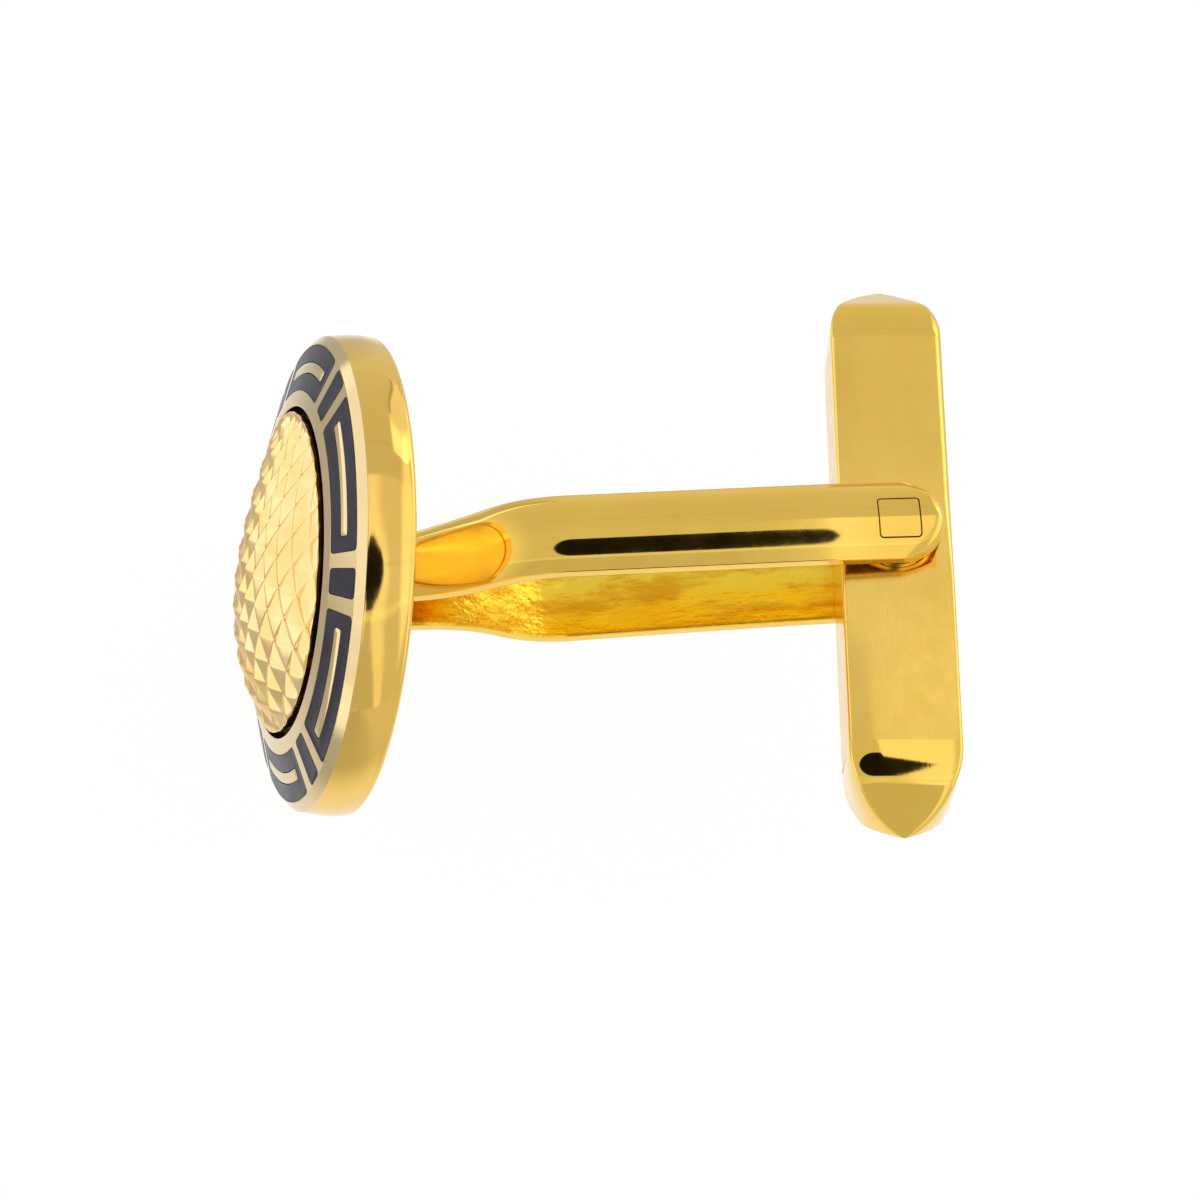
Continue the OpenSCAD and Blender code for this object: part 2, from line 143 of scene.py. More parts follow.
class Socket:
    """A shader value. Sums, products and powers of values make Math nodes; a colour or vector
    goes through Mix or Vector Math instead, by way of node()."""

    def __init__(self, tree, out):
        self.tree, self.out = tree, out

    def node(self, kind, settings=None, out=0, **inputs):
        """Adds a node of this kind: settings first, then inputs by name or number, as in i0."""
        n = self.tree.nodes.new("ShaderNode" + kind)
        for key, value in (settings or {}).items():
            setattr(n, key, value)
        for key, value in inputs.items():
            numbered = key[0] == "i" and key[1:].isdigit()
            socket = n.inputs[int(key[1:])] if numbered else n.inputs[key.replace("_", " ")]
            if isinstance(value, Socket):
                self.tree.links.new(value.out, socket)
            else:
                socket.default_value = value
        return Socket(self.tree, n.outputs[out])

    def math(self, operation, a, b=0.0):
        return self.node("Math", {"operation": operation}, i0=a, i1=b)

    def __add__(self, other):
        return self.math("ADD", self, other)

    def __sub__(self, other):
        return self.math("SUBTRACT", self, other)

    def __rsub__(self, other):
        return self.math("SUBTRACT", other, self)

    def __mul__(self, other):
        return self.math("MULTIPLY", self, other)

    def __pow__(self, other):
        return self.math("POWER", self, other)

    __radd__ = __add__
    __rmul__ = __mul__

    def at_least(self, low):
        return self.math("MAXIMUM", self, low)

    def smooth(self, low, high):
        """0 below low, 1 above high, and a smooth step between."""
        smoothly = {"interpolation_type": "SMOOTHSTEP"}
        return self.node("MapRange", smoothly, i0=self, i1=low, i2=high)

    def blend(self, a, b):
        """Colour a where this is 0 and b where it is 1."""
        a, b = (c if isinstance(c, Socket) else (*c, 1) for c in (a, b))
        return self.node("Mix", {"data_type": "RGBA"}, out=2, i0=self, i6=a, i7=b)


def finish_of(name, **constants):
    """A new material: its shader, with the sockets that stay the same set as numbers, and a
    Socket that carries the piece's own coordinates in metres."""
    m = bpy.data.materials.new(name)
    m.use_nodes = True
    shader = m.node_tree.nodes["Principled BSDF"]
    for key, value in constants.items():
        shader.inputs[key.replace("_", " ")].default_value = value
    at = Socket(m.node_tree, None).node("TexCoord", out=3)
    return m, shader, at


def feed(shader, **links):
    """Joins Sockets to the shader's own sockets."""
    for key, value in links.items():
        value.tree.links.new(value.out, shader.inputs[key.replace("_", " ")])


def gold(name, colour, worn, rough, rough_more, grain=0.0, grain_size=(4000,) * 3, dents=0.15):
    """Worked gold. Its colour drifts between two alloys' shades, fine scratches and a faint
    waviness from buffing stand in the bump, and the roughness is broken up by handling."""
    m, shader, at = finish_of(name, Metallic=1.0)
    drift = at.node("TexNoise", Vector=at, Scale=350.0, Detail=3.0).smooth(0.35, 0.65)
    cloud = at.node("TexNoise", Vector=at, Scale=1300.0, Detail=5.0, Roughness=0.6)
    squeezed = at.node("Mapping", Vector=at, Scale=grain_size)
    streak = at.node("TexNoise", Vector=squeezed, Scale=1.0, Detail=4.0, Roughness=0.7)
    wave = at.node("TexNoise", Vector=at, Scale=260.0, Detail=1.0)
    feed(shader, Base_Color=drift.blend(colour, worn))
    feed(shader, Roughness=cloud.smooth(0.3, 0.75) * rough_more + streak * (grain * 0.3) + rough)
    height = wave * dents + streak * grain
    feed(shader, Normal=at.node("Bump", Height=height, Strength=0.35, Distance=0.00002))
    return m


polished = gold("polished_gold", (0.90, 0.590, 0.138), (0.88, 0.565, 0.122), 0.045, 0.05,
                grain=0.03, grain_size=(9000, 9000, 9000), dents=0.25)
# A lapped finish, rougher than the polish. Its paler, creamier colour is a painted highlight for
# the bright ring and bevel, and it also colours the gold bars.
lapped_and_highlight = gold("lapped_and_highlight_gold", (0.77, 0.60, 0.32), (0.745, 0.565, 0.285), 0.10, 0.06,
              grain=0.05, grain_size=(9000, 9000, 9000), dents=0.08)
# A near-black gold: painted shade in the well and under the dome's undercut edge, and the dark
# hairlines round the pin's ends.
shade_and_joint_dark = gold("shade_and_joint_dark_gold", (0.16, 0.07, 0.015), (0.07, 0.028, 0.006), 0.45, 0.2, dents=0.1)


def rounded_cell(half_len, half_w, corner, fan, along=long_points, across=4):
    """Outline of a cell on (u, v), u along the ring and v across it: a rectangle whose corners
    are arcs. fan splits each arc at the angle whose ray meets the corner of the border outside.
    Points run round anticlockwise, with as many for every cell of the same counts."""
    cu, cv = half_len - corner, half_w - corner
    turn = np.concatenate([np.linspace(0, fan, 4), np.linspace(fan, np.pi / 2, 4)[1:]])
    arcs = []
    for k, centre in enumerate([[cu, cv], [-cu, cv], [-cu, -cv], [cu, -cv]]):
        a = (turn if k % 2 == 0 else np.pi / 2 - turn[::-1]) + k * np.pi / 2
        arcs.append(np.array(centre) + corner * np.stack([np.cos(a), np.sin(a)], 1))
    sides = []
    for k in range(4):
        n = along if k % 2 == 0 else across
        s = np.linspace(0, 1, n + 1)[1:-1, None]
        sides.append(arcs[k][-1] * (1 - s) + arcs[(k + 1) % 4][0] * s)
    return np.concatenate([x for k in range(4) for x in (arcs[k], sides[k])])


def shrunk(outline, half_len, half_w, corner, by):
    """The outline moved in by a distance along its own normal, or out by a negative one."""
    cu, cv = half_len - corner, half_w - corner
    core = np.clip(outline, [-cu, -cv], [cu, cv])
    return core + (outline - core) * (1 - by / corner)


def border_of(outline, half_len, half_w, corner, far_len, far_w):
    """The rectangle far_len by far_w round a cell, met from each point of its outline along the
    outline's normal: straight out from the sides, and fanned out from the corners' centres."""
    cu, cv = half_len - corner, half_w - corner
    d = outline - np.clip(outline, [-cu, -cv], [cu, cv])
    base = outline - d
    far = np.array([far_len, far_w])
    with np.errstate(divide="ignore", invalid="ignore"):
        times = np.where(np.abs(d) > 1e-9, (far - np.abs(base)) / np.abs(d), np.inf).min(1)
    return base + d * times[:, None]


def spine_of(outline, half_len, half_w):
    """The line along a cell's middle that its outline shrinks to: v is 0 and u stops short of
    the ends by the cell's half width."""
    reach = max(half_len - half_w, 0.0)
    return np.stack([np.clip(outline[:, 0], -reach, reach), np.zeros(len(outline))], 1)


def slope_at(r):
    """Height of the sloping ring at radius r."""
    return ring_outer_h + (ring_outer_r - r) * ring_slope


def on_ring(uv, at_angle, lift):
    """Carries (u, v) onto the sloping ring about the cell's middle angle: radius mid + v, angle
    u / mid, height that of the slope plus lift."""
    r = cell_mid_r + uv[..., 1]
    a = at_angle + uv[..., 0] / cell_mid_r
    return on_face(np.stack([r * np.cos(a), r * np.sin(a), slope_at(r) + lift], -1))


# Each cell and its share of the gold walls is one sheet: a border that meets the neighbours'
# half way along the gap, the pocket's eased mouth, its wall and its floor.
gap_between = (2 * cell_step - long_cell_a - short_cell_a) / 2 * cell_mid_r
border_w = 0.795
fan_a = np.arctan2(border_w - cell_half_w + cell_corner, gap_between / 2 + cell_corner)
cell_floor = -enamel_t - seat_gap
rim_sheets = []
rim_angles = []
for k in range(12):
    half_len, along = (short_half, short_points) if k % 2 == 0 else (long_half, long_points)
    out = rounded_cell(half_len, cell_half_w, cell_corner, fan_a, along)
    edge = border_of(out, half_len, cell_half_w, cell_corner, half_len + gap_between / 2, border_w)
    pocket = shrunk(out, half_len, cell_half_w, cell_corner, -seat_gap)
    spine = spine_of(out, half_len, cell_half_w)
    levels = [(edge, 0), (pocket * 0.4 + edge * 0.6, 0), (pocket, 0), (pocket, -cell_bevel),
              (pocket, cell_floor), (spine, cell_floor)]
    sheet = np.stack([on_ring(uv, k * cell_step, h) for uv, h in levels])
    rim_sheets.append((sheet, False, True))
    outer = edge[np.abs(edge[:, 1] - border_w) < 1e-6]
    rim_angles.append(k * cell_step + np.unique(outer[:, 0].round(7)) / cell_mid_r)
rim_angles = np.concatenate(rim_angles)
rim_angles = rim_angles[np.concatenate([[True], np.diff(rim_angles) > 1e-5])]


def turned_rim(angles):
    """The turned profile carried round the axis, with a point at every angle where a border has
    one. Up the band, at a share s of its height, the radius falls off by fall (s - w)^1.5 above
    its widest line w, and by back (1 - s / w)^2 below it. Round the worn place of the front
    corner it falls further by worn e^(-((a - a0) / span)^2) (s - w)^1.5."""
    edge_out, edge_in = cell_mid_r + border_w, cell_mid_r - border_w
    s = np.linspace(0.03, 0.97, 13)
    bottom, top = band_edge_r, band_h - band_soft
    above, below = np.maximum(s - band_widest, 0) ** 1.5, np.maximum(1 - s / band_widest, 0) ** 2
    fall = band_fall * above + band_back * below
    band = np.stack([face_r - fall, bottom + s * (top - bottom)], 1)
    front = [(edge_out, slope_at(edge_out), 0), (ring_outer_r, ring_outer_h, 0.06),
             (face_r - fall[-1] - 0.01, band_h, 0.05)]
    back = [(face_r - band_back, 0, band_edge_r), (plate_r, 0, 0.04), (plate_r, ledge_h, 0),
            (ledge_r, ledge_h, 0), (ledge_r, well_h - shell_t, 0.05),
            (stud_hole_r, well_h - shell_t, 0), (stud_hole_r, well_h, 0), (well_r, well_h, 0.05),
            (well_r, collar_h, 0.05), (ring_inner_r, ring_inner_h, 0.05),
            (edge_in, slope_at(edge_in), 0)]
    table = np.array([*front, (*band[-1], 0), (*band[0], 0), *back])
    rounds = softened(table[:, :2], table[:, 2])
    to_band, from_band = len(front), len(front) + 2
    profile = np.concatenate([table[:1, :2], rounds[1:to_band].reshape(-1, 2), band[::-1],
                              rounds[from_band:-1].reshape(-1, 2), table[-1:, :2]])
    r, h, a = profile[:, 0][None, :], profile[:, 1][None, :], angles[:, None]
    away = (a - worn_a + np.pi) % (2 * np.pi) - np.pi
    share = np.clip((h - bottom) / (top - bottom), 0, 1)
    worn = worn_fall * np.exp(-((away / worn_span) ** 2))
    worn = worn * np.maximum(share - band_widest, 0) ** 1.5
    r = r - worn * np.clip((r - ring_outer_r) / worn_fade, 0, 1)
    return on_face(np.stack([r * np.cos(a), r * np.sin(a), h + 0 * a], -1))


rim_sheets.append((turned_rim(rim_angles), True, False))
rim = piece("rim", rim_sheets, polished, "head", ["face_rim"], crease=60)


def off_axis(mesh):
    """For every face, its middle's distance from the face's axis and height along it, in
    millimetres, and how far its normal leans to the front: the turn of on_face undone."""
    c, s = np.cos(face_lean), np.sin(face_lean)
    middle, normal = np.zeros(len(mesh.polygons) * 3), np.zeros(len(mesh.polygons) * 3)
    mesh.polygons.foreach_get("center", middle)
    mesh.polygons.foreach_get("normal", normal)
    x, y, z = middle.reshape(-1, 3).T / mm
    nx, _, nz = normal.reshape(-1, 3).T
    return np.hypot(x * s + z * c, y), -x * c + z * s, -nx * c + nz * s


# The front faces of the ring, bevel and collar get the paler lapped gold, partly a painted
# highlight, and the well gets the near-black gold as painted shade.
rim.data.materials.append(lapped_and_highlight)
rim.data.materials.append(shade_and_joint_dark)
out_r, up_h, to_front = off_axis(rim.data)
# Faces leaning to the front get the pale gold, a painted highlight.
pale_highlight_faces = (to_front > 0.3) & (up_h > 1.5)
in_well = (out_r < well_r + 0.04) & (up_h < collar_h - 0.1) & (up_h > well_h - 0.1)
which_gold = np.where(in_well, 2, np.where(pale_highlight_faces, 1, 0))
rim.data.polygons.foreach_set("material_index", which_gold.astype(np.int32))

# ---------------------------------------------------------------- enamel tiles
# Dark slate enamel, fired into each cell and stoned flush, so a tile sinks a hair towards
# its middle. The six long tiles have a bar-shaped pocket, and the six short ones are plain.

inlay_half, inlay_half_w = np.radians(35.0) / 2 * cell_mid_r, 0.18
inlay_corner, inlay_t = 0.09, 0.2
enamel_sink, tile_ease, tile_proud = 0.015, 0.012, 0.008
short_spine = 0.3

slate, shader, at = finish_of("slate_enamel", Metallic=0.0, Specular_IOR_Level=0.2, IOR=1.45)
cloud = at.node("TexNoise", Vector=at, Scale=900.0, Detail=4.0)
speck = at.node("TexNoise", Vector=at, Scale=9000.0, Detail=1.0).smooth(0.70, 0.78)
slate_dark, slate_pale, pit = (0.018, 0.016, 0.026), (0.031, 0.028, 0.042), (0.004, 0.004, 0.004)
tone = cloud.smooth(0.3, 0.7).blend(slate_dark, slate_pale)
feed(shader, Base_Color=speck.blend(tone, pit))
feed(shader, Roughness=cloud * 0.18 + 0.22)
feed(shader, Normal=at.node("Bump", Height=cloud - speck, Strength=0.25, Distance=0.000012))

long_out = rounded_cell(long_half, cell_half_w, cell_corner, fan_a)
long_tight = shrunk(long_out, long_half, cell_half_w, cell_corner, tile_ease)
long_spine = spine_of(long_out, long_half, cell_half_w)
short_out = rounded_cell(short_half, cell_half_w, cell_corner, fan_a, short_points)
short_tight = shrunk(short_out, short_half, cell_half_w, cell_corner, tile_ease)
short_middle = np.clip(short_out, [0, -short_spine], [0, short_spine])
bar_out = rounded_cell(inlay_half, inlay_half_w, inlay_corner, fan_a)
bar_pocket = shrunk(bar_out, inlay_half, inlay_half_w, inlay_corner, -seat_gap)
bar_spine = spine_of(bar_out, inlay_half, inlay_half_w)


def tile(name, levels, at_angle, node):
    """One tile from its levels, a list of (outline, height above the ring's slope)."""
    sheet = np.stack([on_ring(uv, at_angle, tile_proud + h) for uv, h in levels])
    piece(name, [(sheet, False, True)], slate, "head", [node], crease=40)


# At a share s of the way from wall to pocket a long tile sinks by 4 s (1 - s) of the sink, and
# on the way to its middle a short one sinks by s (2 - s) of it.
for k in range(6):
    levels = [(long_spine, -enamel_t), (long_out, -enamel_t), (long_out, -tile_ease),
              (long_tight, 0)]
    levels += [(long_tight * (1 - s) + bar_pocket * s, -enamel_sink * 4 * s * (1 - s))
               for s in (0.2, 0.4, 0.6, 0.8)]
    levels += [(bar_pocket, 0), (bar_pocket, -inlay_t - seat_gap), (bar_spine, -inlay_t - seat_gap)]
    tile(f"tile_long_{k + 1}", levels, (2 * k + 1) * cell_step, f"enamel_long_{k + 1}")
    levels = [(short_middle, -enamel_t), (short_out, -enamel_t), (short_out, -tile_ease),
              (short_tight, 0)]
    levels += [(short_tight * (1 - s) + short_middle * s, -enamel_sink * s * (2 - s))
               for s in (0.33, 0.66, 1.0)]
    tile(f"tile_short_{k + 1}", levels, 2 * k * cell_step, f"enamel_short_{k + 1}")

# ---------------------------------------------------------------- gold bars in the enamel
# A slim curved bar of gold wire lies in each long tile. It is set in the enamel before the
# firing and ground flush with it, so only its flat top shows.

bar_ease, bar_proud, bar_crown = 0.02, 0.01, 0.004
bar_tight = shrunk(bar_out, inlay_half, inlay_half_w, inlay_corner, bar_ease)
for k in range(6):
    levels = [(bar_spine, -inlay_t), (bar_out, -inlay_t), (bar_out, -bar_ease), (bar_tight, 0),
              (bar_spine, bar_crown)]
    sheet = np.stack([on_ring(uv, (2 * k + 1) * cell_step, bar_proud + h) for uv, h in levels])
    piece(f"bar_{k + 1}", [(sheet, False, True)], lapped_and_highlight, "head",
          [f"inlay_bar_{k + 1}"], crease=50)

# ---------------------------------------------------------------- dome
# The dome is a gold cap cut with two sets of V grooves at sixty degrees, which leave rows of
# small four-sided pyramids. Its edge is undercut, and it stands in the well on its stud.

dome_r, dome_edge_h, dome_rise, dome_floor_h = 5.32, 2.64, 1.38, 1.94
dome_sphere_r = (dome_r**2 + dome_rise**2) / (2 * dome_rise)
dome_centre_h = dome_edge_h + dome_rise - dome_sphere_r
dome_tip = 0.095
undercut, undercut_h, rim_drop = 0.3, 2.2, 0.05
groove_pitch, groove_depth, groove_round, ridge_wear = 0.875, 0.225, 0.03, 0.00008
groove_lines = np.radians([22.0, 82.0])
row_shift = np.array([0.385, 0.158])
edge_fade, edge_cut = 0.4, 0.2


def on_lean(p):
    """Puts points (b, a, h) of the face in the part's frame: the axis laid along -X and the lean
    about Y, without the pattern's turn."""
    b, a, h = p[..., 0], p[..., 1], p[..., 2]
    c, s = np.cos(face_lean), np.sin(face_lean)
    return np.stack([-h * c + b * s, a, h * s + b * c], -1) * mm


def groove_drop(across, shift):
    """How far a set of V grooves cuts below the dome: a saw of the distance to the nearest row of
    peaks, 0 on the row and the groove's depth half a pitch away, a little rounded at both."""
    t = np.abs((across - shift) / groove_pitch - np.round((across - shift) / groove_pitch)) * 2
    t = np.sqrt(t**2 + groove_round**2) - groove_round
    return groove_depth * (1 - np.sqrt((1 - t) ** 2 + groove_round**2))


def dome_surface(step=14, rows=8):
    """Points on a grid that follows both sets of grooves, step to a half pitch. A point outside
    the edge is drawn in to it. The height is the sphere's less the deeper of the two drops, with
    max(p, q) taken as (p + q) / 2 + sqrt(((p - q) / 2)^2 + wear) so that the ridges are worn. The
    drop fades at the edge. The middle leans towards the lower side, by tip a (1 - r^2 / R^2)."""
    n = rows * 2 * step
    k = np.arange(-n, n + 1) * groove_pitch / (2 * step)
    d1, d2 = np.meshgrid(k + row_shift[0], k + row_shift[1], indexing="ij")
    normal = np.stack([np.cos(groove_lines + np.pi / 2), np.sin(groove_lines + np.pi / 2)], 1)
    ba = np.stack([d1, d2], -1) @ np.linalg.inv(normal).T
    r = np.linalg.norm(ba, axis=-1)
    inside = r < dome_r
    ba = ba * np.minimum(1, dome_r / np.maximum(r, 1e-9))[..., None]
    across = ba @ normal.T
    p, q = groove_drop(across[..., 0], row_shift[0]), groove_drop(across[..., 1], row_shift[1])
    drop = (p + q) / 2 + np.sqrt(((p - q) / 2) ** 2 + ridge_wear)
    fade = np.clip((dome_r - np.linalg.norm(ba, axis=-1)) / edge_fade, 0, 1)
    drop = drop * (edge_cut + (1 - edge_cut) * fade * (2 - fade))
    r2 = (ba**2).sum(-1)
    lean = dome_tip * ba[..., 1] * (1 - r2 / dome_r**2)
    h = dome_centre_h + np.sqrt((dome_sphere_r - drop) ** 2 - r2) - lean
    return np.concatenate([ba, h[..., None]], -1), inside


cut, shader, at = finish_of("cut_gold", Metallic=1.0)
drift = at.node("TexNoise", Vector=at, Scale=700.0, Detail=3.0).smooth(0.35, 0.65)
mark = at.node("TexNoise", Vector=at, Scale=6000.0, Detail=4.0, Roughness=0.7)
dent = at.node("TexNoise", Vector=at, Scale=1500.0, Detail=1.0)
feed(shader, Base_Color=drift.blend((0.96, 0.695, 0.33), (0.93, 0.63, 0.24)))
feed(shader, Roughness=mark * 0.12 + 0.13)
feed(shader, Normal=at.node("Bump", Height=mark * 0.3 + dent, Strength=0.4, Distance=0.00003))

grid, inside = dome_surface()
quads = grid_faces(*inside.shape)
quads = quads[inside.ravel()[quads].any(1)]
mesh = bpy.data.meshes.new("dome")
mesh.from_pydata(grid.reshape(-1, 3), [], quads.tolist())
bm = bmesh.new()
bm.from_mesh(mesh)
bmesh.ops.delete(bm, geom=[v for v in bm.verts if not v.link_faces], context="VERTS")
bmesh.ops.remove_doubles(bm, verts=bm.verts, dist=0.003)
bmesh.ops.dissolve_degenerate(bm, dist=0.001, edges=bm.edges)

# Three rings grow from the cap's edge. bmesh numbers new points from the top of the freed
# numbers down, so the ring grown last comes first here: the wall goes in under the edge to the
# floor, turns up inside, and is closed just under the edge.
wall = [(dome_r, None), (dome_r - undercut, undercut_h), (dome_r - undercut, dome_floor_h)]
first_new = [len(bm.verts)]
for _ in wall:
    bmesh.ops.extrude_edge_only(bm, edges=[e for e in bm.edges if e.is_boundary])
    first_new.append(len(bm.verts))
bmesh.ops.contextual_create(bm, geom=[e for e in bm.edges if e.is_boundary])
bm.to_mesh(mesh)
bm.free()
co = np.zeros(len(mesh.vertices) * 3)
mesh.vertices.foreach_get("co", co)
co = co.reshape(-1, 3)
for (wall_r, wall_h), start, end in zip(wall, first_new, first_new[1:]):
    co[start:end, :2] *= wall_r / np.linalg.norm(co[start:end, :2], axis=1, keepdims=True)
    co[start:end, 2] = co[start:end, 2] - rim_drop if wall_h is None else wall_h
mesh.vertices.foreach_set("co", on_lean(co).ravel())
bm = bmesh.new()
bm.from_mesh(mesh)
bmesh.ops.recalc_face_normals(bm, faces=bm.faces)
bm.to_mesh(mesh)
bm.free()
mesh.polygons.foreach_set("use_smooth", np.ones(len(mesh.polygons), bool))
mesh.set_sharp_from_angle(angle=np.radians(55))
mesh.materials.append(cut)
mesh.materials.append(shade_and_joint_dark)
out_r, _, to_front = off_axis(mesh)
# The undercut wall that faces away gets the near-black gold, painted shade round the dome's edge.
in_shade = (out_r > dome_r - undercut - 0.05) & (to_front < 0.35)
mesh.polygons.foreach_set("material_index", in_shade.astype(np.int32))
dome = bpy.data.objects.new("dome", mesh)
bpy.context.scene.collection.objects.link(dome)
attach(dome, "head")
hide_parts("dome_insert")

# ---------------------------------------------------------------- back plate and stud
# A plain disc closes the back of the rim, a little below its edge, and the dome's stud
# comes through its middle. Both are turned from gold, and the stud is riveted flush.

turned_gold = gold("turned_gold", (0.98, 0.70, 0.17), (0.95, 0.65, 0.14), 0.26, 0.08,
                   grain=0.04, grain_size=(6000, 6000, 6000), dents=0.2)


def refinish(names, material):
    """Gives CAD nodes whose shape is right a better material."""
    for name in names:
        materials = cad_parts[name].data.materials
        materials.clear()
        materials.append(material)


refinish(("back_plate", "dome_stud"), turned_gold)

# ---------------------------------------------------------------- arms
# Two half-round strips of gold, bent in an S from the middle of the back and sprung in a
# little towards the toggle. Their feet are soldered to the plate, and the flat sides, which
# the polishing wheel doesn't reach, face inward.

# The arms were filed by hand and differ. Some sizes are by side: 1 is near and -1 far.
arm_w, arm_t, crown_rise, crown_end = 2.8, 1.0, 0.62, 0.975
crown_r = (arm_w**2 / 4 + crown_rise**2) / (2 * crown_rise)
foot_x, foot_z, solder_depth = 0.6, 1.03, 0.08
bend_start, bend_end = {1: 1.4, -1: 2.0}, 7.0
bow_z, pinch = {1: 2.464, -1: 2.72}, {1: 0.0, -1: np.radians(2.0)}
dip, dip_x, dip_w = {1: 0.04, -1: 0.0}, 15.85, 0.12
arm_end_x, arm_end_soft = 17.95, 0.3
edge_first, edge_last, edge_other = {1: 1.12, -1: 1.64}, {1: 1.53, -1: 1.48}, 1.27
edge_from, edge_over = {1: 2.0, -1: 3.0}, {1: 3.6, -1: 13.0}


def bend_of(side):
    """The angle and radius of an arm's two bends: they rise by r (1 - cos a) each over half of
    the length between them, so a = 2 atan(rise / length)."""
    length = bend_end - bend_start[side]
    a = 2 * np.arctan((bow_z[side] - foot_z) / length)
    return a, length / (2 * np.sin(a))


def run_at(side, x):
    """Height of an arm's middle at x on its straight run, and its slope down. It slopes by the
    pinch, and past x0 by a dip m more, which comes in as m w ln(1 + e^((x - x0) / w))."""
    r = bend_of(side)[1]
    start = bow_z[side] - r * (1 - np.cos(pinch[side]))
    fall = (x - bend_end - r * np.sin(pinch[side])) * np.tan(pinch[side])
    t = (x - dip_x) / dip_w
    fall = fall + dip[side] * dip_w * np.logaddexp(0, t)
    return start - fall, np.tan(pinch[side]) + dip[side] / (1 + np.exp(-t))


def arm_line(side, n_foot=8, n_bend=30, n_run=90, n_end=25):
    """The arm's middle line in (x, z) with its outward normal: straight, an arc bending out, an
    arc bending back past level by the pinch, then straight to the round end."""
    bend_a, bend_r = bend_of(side)
    x0 = np.linspace(foot_x, bend_start[side], n_foot)[:-1]
    p0 = np.stack([x0, np.full_like(x0, foot_z)], 1)
    n0 = np.tile([0.0, 1.0], (len(x0), 1))
    t = np.linspace(0, bend_a, n_bend)[:-1]
    p1 = np.stack([bend_start[side] + bend_r * np.sin(t), foot_z + bend_r * (1 - np.cos(t))], 1)
    n1 = np.stack([-np.sin(t), np.cos(t)], 1)
    t = np.linspace(bend_a, -pinch[side], n_bend)[:-1]
    p2 = np.stack([bend_end - bend_r * np.sin(t), bow_z[side] - bend_r * (1 - np.cos(t))], 1)
    n2 = np.stack([-np.sin(t), np.cos(t)], 1)
    run_x = np.linspace(bend_end + bend_r * np.sin(pinch[side]), arm_end_x, n_run)[:-1]
    end_x = arm_end_x + arm_w / 2 * np.sin(np.linspace(0, np.pi / 2, n_end))
    x3 = np.concatenate([run_x, end_x])
    z3, slope = run_at(side, x3)
    p3 = np.stack([x3, z3], 1)
    n3 = np.stack([slope, np.ones_like(slope)], 1) / np.hypot(slope, 1)[:, None]
    return np.concatenate([p0, p1, p2, p3]), np.concatenate([n0, n1, n2, n3])


def crown_at(y):
    """Height of the half-round's outer side over its middle line, at y across it."""
    return arm_t / 2 - (crown_r - np.sqrt(crown_r**2 - y**2))


def arm_surface(side):
    """The half-round section carried along the line: on (y, t), an arc of crown_r, a shoulder of
    small radius, straight sides and a flat inner side. The upper edge's distance from the middle
    goes from first to last as s (2 - s), from edge_from over edge_over, and the lower edge's
    stays the same. Past the round end's centre the width follows the circle, and within s of the
    outline the crown falls by s - sqrt(s^2 - (s - distance)^2)."""
    line, normal = arm_line(side)
    half, low, shoulder = arm_w / 2, -arm_t / 2, arm_t / 2 - crown_rise
    q = np.sin(np.linspace(-1, 1, 25) * np.pi / 2 * 0.94)
    q = q / q[-1] * crown_end
    flank = np.array([
        (0.992, shoulder + 0.035), (1.0, shoulder - 0.01), (1.0, shoulder - 0.05),
        (1.0, (shoulder + low) / 2), (1.0, low + 0.08), (0.995, low + 0.03),
        (0.975, low + 0.008), (0.95, low), (0.9, low)])
    flat_q = np.linspace(0.8, -0.8, 15)
    share = np.concatenate([q, flank[:, 0], flat_q, -flank[::-1, 0]])[None, :]
    over = np.clip((line[:, 0] - arm_end_x) / half, 0, 1)[:, None]
    width = np.sqrt(np.maximum(1 - over**2, 0))
    soft = arm_end_soft * np.clip(over * 2.5, 0, 1)
    inset = half * (1 - np.sqrt(over**2 + (q[None, :] * width) ** 2))
    end_fall = soft - np.sqrt(np.maximum(soft**2 - np.maximum(soft - inset, 0) ** 2, 0))
    crown = crown_at(q[None, :] * width * half) - end_fall
    shoulder_fall = crown[:, -1:] - crown_at(crown_end * half)
    rest = np.concatenate([flank[:, 1], np.full(len(flat_q), low), flank[::-1, 1]])
    rest = np.tile(rest, (len(line), 1))
    rest = np.where(rest > low + 0.1, rest + shoulder_fall, rest)
    t = np.concatenate([crown, rest], 1)
    s = np.clip((line[:, :1] - edge_from[side]) / edge_over[side], 0, 1)
    upper = edge_first[side] + (edge_last[side] - edge_first[side]) * s * (2 - s)
    y = share * np.where(share > 0, upper, edge_other) * width * side
    x = line[:, :1] + normal[:, :1] * t
    z = (line[:, 1:] + normal[:, 1:] * t) * side
    p = np.stack([x, y, z], -1)
    foot = p[:1].copy()
    foot[..., 0] = foot[..., 2] * np.tan(face_lean) - solder_depth
    steps = np.linspace(0, 1, 6)[:-1, None, None]
    foot_middle = foot.mean(1, keepdims=True).repeat(p.shape[1], 1)
    end_middle = p[-1:].mean(1, keepdims=True).repeat(p.shape[1], 1)
    return np.concatenate([foot_middle, foot * (1 - steps) + p[:1] * steps, p, end_middle]) * mm


arm_gold = gold("arm_gold", (0.95, 0.63, 0.125), (0.93, 0.60, 0.105), 0.035, 0.035,
                grain=0.05, grain_size=(2500, 9000, 9000), dents=0.35)

